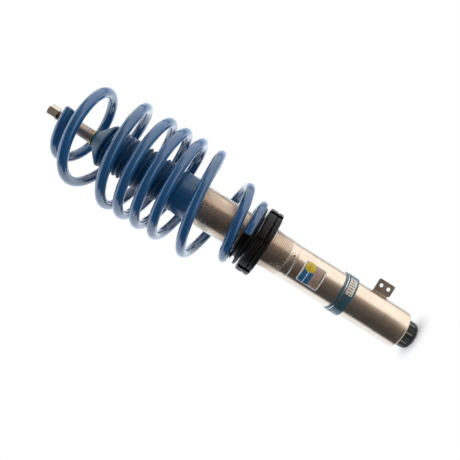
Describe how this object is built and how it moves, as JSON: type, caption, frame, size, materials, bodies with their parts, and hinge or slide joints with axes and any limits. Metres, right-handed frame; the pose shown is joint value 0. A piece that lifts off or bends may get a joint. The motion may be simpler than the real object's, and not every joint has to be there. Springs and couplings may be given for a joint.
{
  "type": "strut assembly",
  "caption": "Coil-over suspension strut: threaded housing with a clamp seat, adjustable spring seat, barrel coil spring, bellows boot, top stud and a damping knob.",
  "frame": {"origin": "on the strut's axis, at the middle of the seat that the knuckle clamp grips", "axes": "+Z along the strut's axis towards the top stud; +X towards the locating tab; +Y completes the frame, so the label faces -Y"},
  "size_m": [0.1531, 0.1532, 0.576],
  "materials": {
    "zinc_plated_steel": "satin zinc plating with a warm tint",
    "teal_coating": "satin dark teal coating",
    "bright_steel": "bright spring steel",
    "tab_steel": "dark grey-brown zinc plating",
    "label_film": null,
    "bearing_bronze": "bronze-backed polymer bearing",
    "black_rubber": "matt black rubber",
    "plain_steel": "zinc plated steel",
    "hard_chrome": "ground and polished hard chrome",
    "foam_urethane": "closed cell polyurethane foam",
    "sintered_aluminium": "machined",
    "band_polymer": "bronze filled polymer",
    "black_plastic": "black moulded plastic with a soft gloss",
    "needle_brass": "turned brass",
    "nut_plating": "pale silver-beige zinc plating",
    "yellow_zinc": "yellow passivated steel",
    "cap_plastic": "grey-blue moulded plastic",
    "boot_rubber": "dark navy rubber",
    "sleeve_plastic": "dark teal-blue moulded plastic",
    "black_anodised": "black hard anodised",
    "washer_steel": "bright bluish steel",
    "spring_blue": "gloss blue powder coat"
  },
  "bodies": {
    "housing": {"strut_housing": "zinc_plated_steel", "depth_collar": "teal_coating", "stop_ring": "teal_coating", "collar_snap_ring": "bright_steel", "locating_tab": "tab_steel", "rating_label": "label_film", "lower_guide_bush": "bearing_bronze", "upper_guide_bush": "bearing_bronze", "wiper_seal": "black_rubber", "seal_retainer": "plain_steel", "piston_rod": "hard_chrome", "rod_base_nut": "plain_steel", "bump_stop": "foam_urethane", "bump_stop_cup": "plain_steel", "rebound_bumper": "black_rubber", "piston": "sintered_aluminium", "piston_band": "band_polymer", "compression_shims": "bright_steel", "rebound_shims": "bright_steel", "piston_nut": "plain_steel"},
    "damping_adjuster": {"adjuster_knob": "black_plastic", "adjuster_rod": "needle_brass"},
    "boot_carrier": {"boot_cap": "cap_plastic", "boot_retaining_ring": "boot_rubber", "dust_bellows": "boot_rubber"},
    "cartridge": {"cartridge_tube": "hard_chrome", "cartridge_end_cap": "plain_steel", "top_stud": "hard_chrome", "top_nut": "nut_plating", "stud_circlip": "yellow_zinc", "rod_guide": "sintered_aluminium", "rod_seal": "black_rubber", "guide_circlip": "plain_steel"},
    "gas_piston": {"floating_piston": "sintered_aluminium", "floating_piston_ring": "black_rubber"},
    "boot_sleeve": {"dust_sleeve": "sleeve_plastic"},
    "seat": {"spring_seat": "black_anodised", "thrust_washer": "washer_steel", "coil_spring": "spring_blue"},
    "adjuster": {"adjuster_ring": "black_anodised"},
    "locker": {"lock_ring": "black_anodised"}
  },
  "joints": [
    {"name": "damper_stroke", "type": "slide", "parent": "housing", "child": "boot_carrier", "axis": [0, 0, -1], "range_m": [0, 0.1], "stiffness_N_per_m": 32000, "springref_m": -0.0094, "deforming": ["coil_spring", "dust_bellows"]},
    {"name": "steering_turn", "type": "hinge", "parent": "boot_carrier", "child": "cartridge", "pos_m": [0, 0, 0], "axis": [0, 0, 1], "range_deg": [-40, 40]},
    {"name": "gas_piston_slide", "type": "slide", "parent": "cartridge", "child": "gas_piston", "axis": [0, 0, 1], "range_m": [0, 0.0125]},
    {"name": "boot_sleeve_slide", "type": "slide", "parent": "housing", "child": "boot_sleeve", "axis": [0, 0, -1], "range_m": [0, 0.0285]},
    {"name": "height_adjuster_turn", "type": "hinge", "parent": "seat", "child": "adjuster", "pos_m": [0, 0, 0], "axis": [0, 0, 1], "range_deg": [-3601, 2881]},
    {"name": "seat_height", "type": "slide", "parent": "housing", "child": "seat", "axis": [0, 0, 1], "range_m": [-0.025, 0.02]},
    {"name": "lock_ring_turn", "type": "hinge", "parent": "seat", "child": "locker", "pos_m": [0, 0, 0], "axis": [0, 0, 1], "range_deg": [-3601, 2881]},
    {"name": "damping_knob_turn", "type": "hinge", "parent": "housing", "child": "damping_adjuster", "pos_m": [0, 0, 0], "axis": [0, 0, 1], "range_deg": [0, 270]}
  ],
  "couplings": [
    {"joint": "boot_sleeve_slide", "follows": "damper_stroke", "ratio": 0.28},
    {"joint": "gas_piston_slide", "follows": "damper_stroke", "ratio": 0.1225},
    {"joint": "height_adjuster_turn", "follows": "seat_height", "rad_per_m": 2513.3},
    {"joint": "lock_ring_turn", "follows": "seat_height", "rad_per_m": 2513.3}
  ]
}
